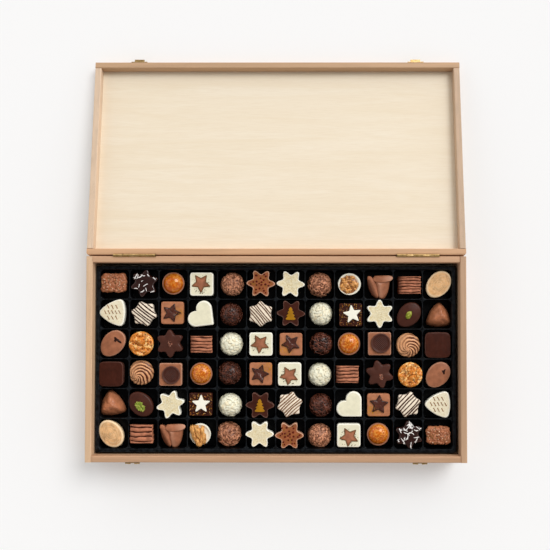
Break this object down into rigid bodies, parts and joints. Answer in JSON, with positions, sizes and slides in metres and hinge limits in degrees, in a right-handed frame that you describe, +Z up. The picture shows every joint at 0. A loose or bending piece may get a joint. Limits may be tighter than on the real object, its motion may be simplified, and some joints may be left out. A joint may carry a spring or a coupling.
{
  "type": "box of chocolate pralines",
  "caption": "Hinged wooden gift box, open, with a black compartment tray full of assorted chocolate pralines; the lid shuts and two clasps close over it.",
  "frame": {"origin": "centre of the base's underside, where the box stands on the table", "axes": "+Z up; +Y from the clasps at the front towards the hinge and the opened lid; +X along the hinge, to the right as seen from the front"},
  "size_m": [0.434, 0.4768, 0.0458],
  "materials": {
    "beech": "bare, finely sanded beech with small ray flecks, grain along each board",
    "birch_plywood": "pale, matt birch plywood",
    "brass": "thin pressed brass, satin",
    "tray_plastic": "black vacuum-formed sheet, semi-gloss",
    "milk_chocolate": "milk chocolate, soft satin",
    "dark_chocolate": "dark chocolate, satin",
    "white_chocolate": "white chocolate, soft satin",
    "caramel_chocolate": "caramel-coloured chocolate, satin",
    "amber_glaze": "amber caramel glaze and brittle, glossy",
    "nut": "roasted and caramelised nut",
    "pistachio": "green pistachio kernel"
  },
  "bodies": {
    "base": {"base_floor": "birch_plywood", "base_wall_back": "beech", "base_wall_front": "beech", "base_wall_left": "beech", "base_wall_right": "beech", "clasp_plate_left": "brass", "clasp_plate_right": "brass", "hinge_base_leaf_left": "brass", "hinge_base_leaf_right": "brass", "praline_1_01_nugget": "milk_chocolate", "praline_1_02_flecked_star": "dark_chocolate", "praline_1_03_amber_dome": "amber_glaze", "praline_1_04_white_square": "white_chocolate", "praline_1_05_milk_truffle": "milk_chocolate", "praline_1_06_dotted_star": "milk_chocolate", "praline_1_07_cream_star": "white_chocolate", "praline_1_08_milk_truffle": "milk_chocolate", "praline_1_09_nut_cup": "white_chocolate", "praline_1_10_tulip": "milk_chocolate", "praline_1_11_ribbed": "milk_chocolate", "praline_1_12_caramel_oval": "caramel_chocolate", "praline_2_01_cream_triangle": "white_chocolate", "praline_2_02_striped_star": "white_chocolate", "praline_2_03_milk_square": "milk_chocolate", "praline_2_04_heart": "white_chocolate", "praline_2_05_dark_truffle": "dark_chocolate", "praline_2_06_striped_star": "white_chocolate", "praline_2_07_tree_star": "dark_chocolate", "praline_2_08_white_truffle": "white_chocolate", "praline_2_09_brittle_square": "dark_chocolate", "praline_2_10_cream_star": "white_chocolate", "praline_2_11_pistachio_oval": "dark_chocolate", "praline_2_12_pyramid": "milk_chocolate", "praline_3_01_milk_oval": "milk_chocolate", "praline_3_02_florentine": "amber_glaze", "praline_3_03_crumb_star": "dark_chocolate", "praline_3_04_ribbed": "milk_chocolate", "praline_3_05_white_truffle": "white_chocolate", "praline_3_06_white_square": "white_chocolate", "praline_3_07_milk_square": "milk_chocolate", "praline_3_08_dark_truffle": "dark_chocolate", "praline_3_09_amber_dome": "amber_glaze", "praline_3_10_disc_square": "milk_chocolate", "praline_3_11_swirl": "caramel_chocolate", "praline_3_12_dark_square": "dark_chocolate", "tray": "tray_plastic"},
    "lid": {"clasp_hook_left": "brass", "clasp_hook_right": "brass", "hinge_lid_leaf_left": "brass", "hinge_lid_leaf_right": "brass", "lid_panel": "birch_plywood", "lid_wall_back": "beech", "lid_wall_front": "beech", "lid_wall_left": "beech", "lid_wall_right": "beech"},
    "bail_left": {"clasp_bail_left": "brass"},
    "bail_right": {"clasp_bail_right": "brass"}
  },
  "joints": [
    {"name": "lid_hinge", "type": "hinge", "parent": "base", "child": "lid", "pos_m": [0, 0.11815, 0.04415], "axis": [1, 0, 0], "range_deg": [0, 187.41]},
    {"name": "clasp_left", "type": "hinge", "parent": "base", "child": "bail_left", "pos_m": [-0.165, -0.11945, 0.0336], "axis": [-1, 0, 0], "range_deg": [0, 180]},
    {"name": "clasp_right", "type": "hinge", "parent": "base", "child": "bail_right", "pos_m": [0.165, -0.11945, 0.0336], "axis": [-1, 0, 0], "range_deg": [0, 180]}
  ]
}
